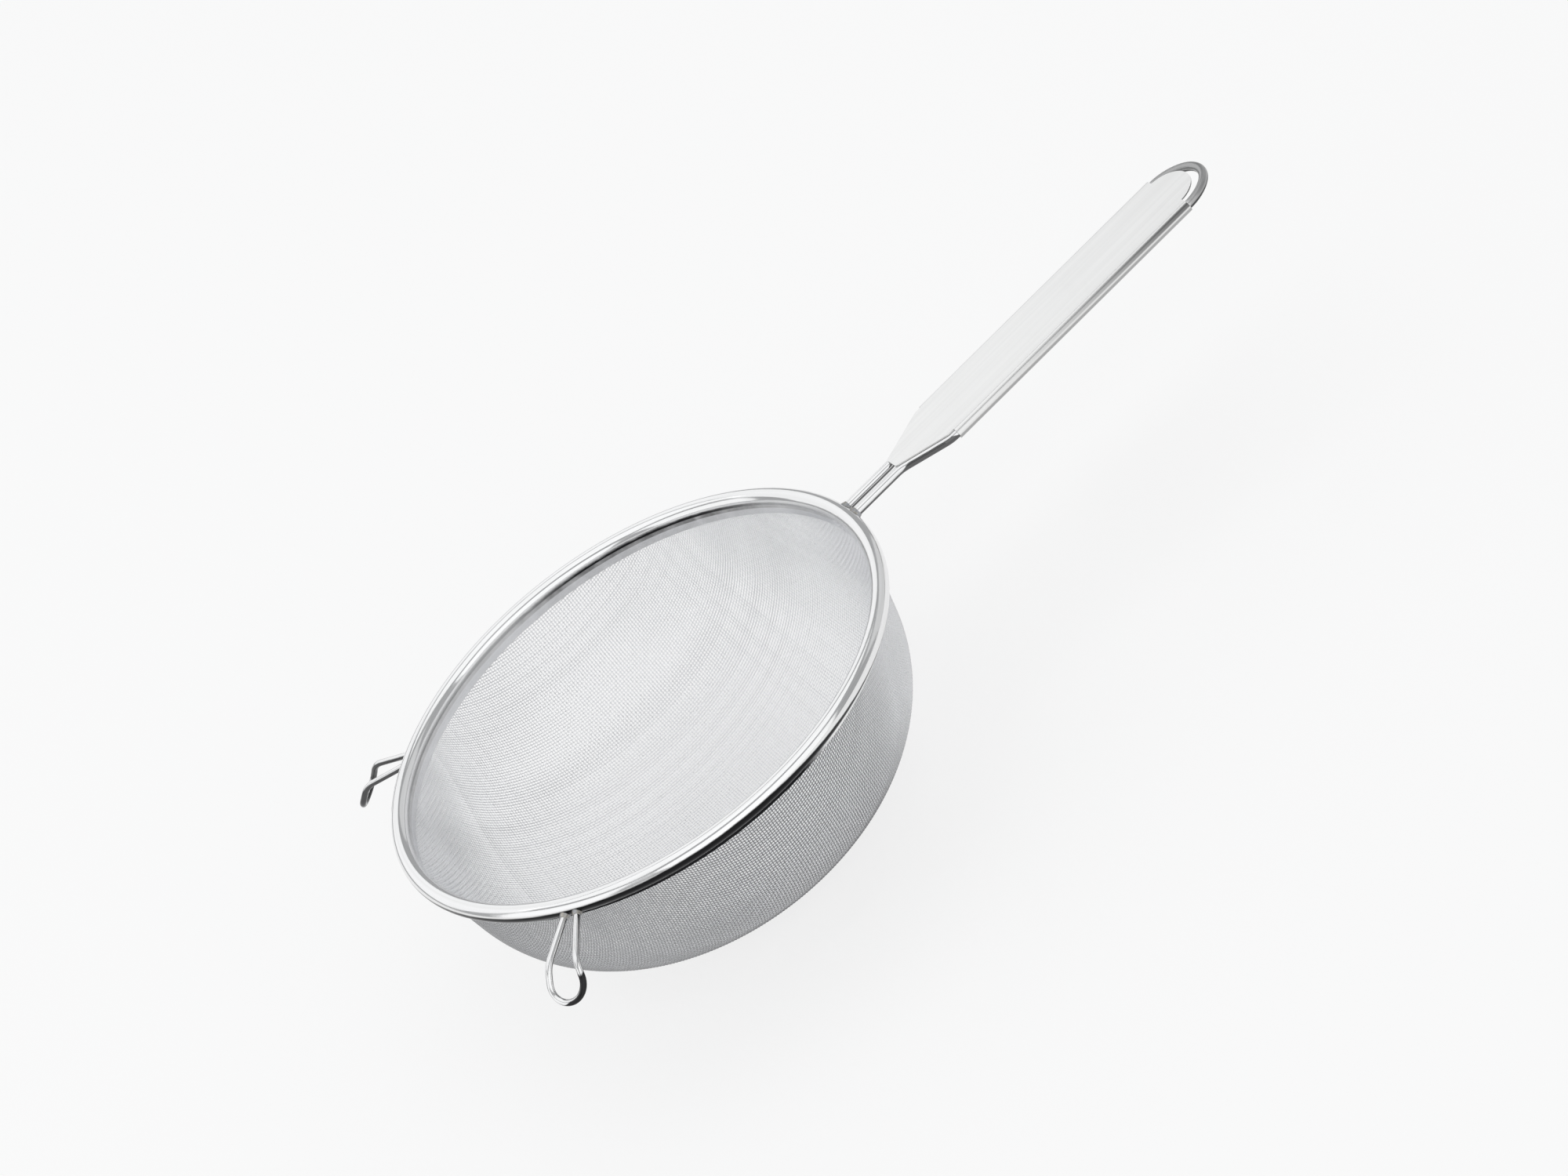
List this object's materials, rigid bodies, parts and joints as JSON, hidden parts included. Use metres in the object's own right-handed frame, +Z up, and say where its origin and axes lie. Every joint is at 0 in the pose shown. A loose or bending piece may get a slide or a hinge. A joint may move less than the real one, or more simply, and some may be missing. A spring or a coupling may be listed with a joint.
{
  "type": "handled mesh strainer",
  "caption": "Round stainless steel kitchen sieve: wire-mesh bowl in a rolled rim, flat handle with a hanging loop, and wire rests opposite.",
  "frame": {"origin": "centre of the small flat foot under the bowl, on the surface it rests on", "axes": "+Z up along the bowl's axis, +X from the bowl towards the handle's hanging loop, +Y across, towards the ear rest on the right"},
  "size_m": [0.3363, 0.18, 0.0826],
  "materials": {
    "rim_steel": "polished",
    "wire_steel": "polished",
    "mesh_steel": "bright drawn wire",
    "plate_steel": "satin",
    "weld_steel": "cleaned resistance weld"
  },
  "bodies": {
    "root": {"rim_band": "rim_steel", "rim_core_wire": "wire_steel", "mesh_bowl": "mesh_steel", "handle_frame_wire": "wire_steel", "handle_plate": "plate_steel", "handle_welds": "weld_steel", "ear_rest_left": "wire_steel", "ear_rest_right": "wire_steel", "ear_welds_left": "weld_steel", "ear_welds_right": "weld_steel"}
  },
  "joints": []
}
